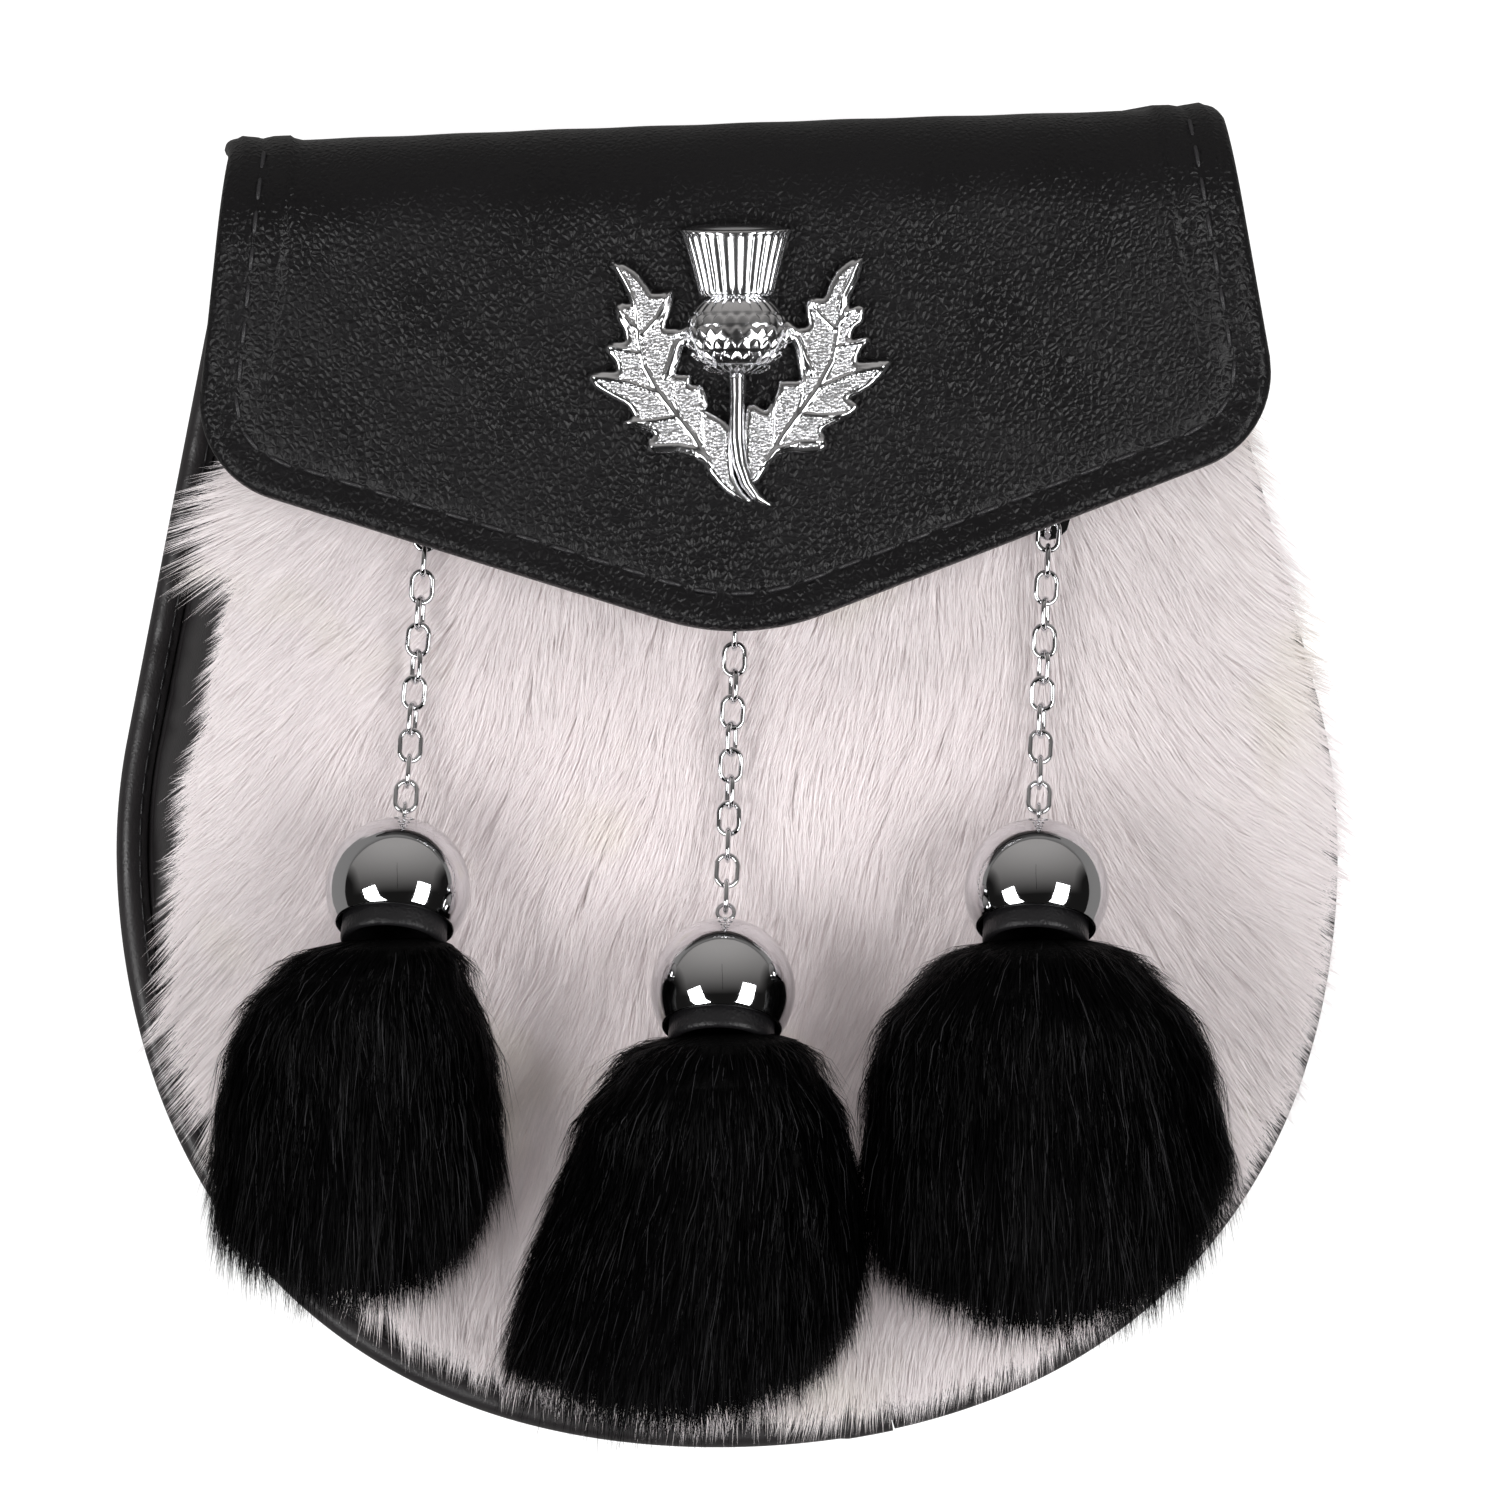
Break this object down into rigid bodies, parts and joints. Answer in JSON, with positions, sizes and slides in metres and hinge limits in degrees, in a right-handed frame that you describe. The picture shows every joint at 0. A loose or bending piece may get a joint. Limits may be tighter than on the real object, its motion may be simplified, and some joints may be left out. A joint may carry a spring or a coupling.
{
  "type": "sporran pouch",
  "caption": "Rounded black leather pouch with a white fur front, a pointed flap with a cast thistle badge, and black fur tassels hung from domed caps on short chains.",
  "frame": {"origin": "middle of the floor under the pouch's overall box, with the pouch lying on its back", "axes": "+Z out of the front, upwards as it lies; +Y towards the fold of the flap; +X to the right as the front is seen. The back panel slopes about 2.7 degrees, because the pouch lies on its belt loops"},
  "size_m": [0.1976, 0.2158, 0.0753],
  "materials": {
    "leather": "pebble-grained black leather with a soft sheen",
    "smooth_leather": "smooth black leather, semi-gloss",
    "white_fur": "long warm-white fur on its hide, combed down",
    "black_fur": "long black fur with a faint sheen",
    "chrome": "mirror-polished chrome plate"
  },
  "bodies": {
    "root": {"back_panel": "leather", "edge_binding_left": "leather", "edge_binding_right": "leather", "gusset": "smooth_leather", "fur_front": "white_fur", "flap": "leather", "flap_stud": "chrome", "thistle_badge": "chrome", "belt_loop_left": "leather", "belt_loop_right": "leather", "staple_left": "chrome", "eye_left": "chrome", "dome_left": "chrome", "cuff_left": "smooth_leather", "tassel_left": "black_fur", "staple_middle": "chrome", "eye_middle": "chrome", "dome_middle": "chrome", "cuff_middle": "smooth_leather", "tassel_middle": "black_fur", "staple_right": "chrome", "eye_right": "chrome", "dome_right": "chrome", "cuff_right": "smooth_leather", "tassel_right": "black_fur", "link_left_01": "chrome", "link_left_02": "chrome", "link_left_03": "chrome", "link_left_04": "chrome", "link_left_05": "chrome", "link_left_06": "chrome", "link_left_07": "chrome", "link_left_08": "chrome", "link_left_09": "chrome", "link_left_10": "chrome", "link_left_11": "chrome", "link_middle_01": "chrome", "link_middle_02": "chrome", "link_middle_03": "chrome", "link_middle_04": "chrome", "link_middle_05": "chrome", "link_middle_06": "chrome", "link_middle_07": "chrome", "link_middle_08": "chrome", "link_middle_09": "chrome", "link_middle_10": "chrome", "link_middle_11": "chrome", "link_middle_12": "chrome", "link_right_01": "chrome", "link_right_02": "chrome", "link_right_03": "chrome", "link_right_04": "chrome", "link_right_05": "chrome", "link_right_06": "chrome", "link_right_07": "chrome", "link_right_08": "chrome", "link_right_09": "chrome", "link_right_10": "chrome", "link_right_11": "chrome"}
  },
  "joints": []
}
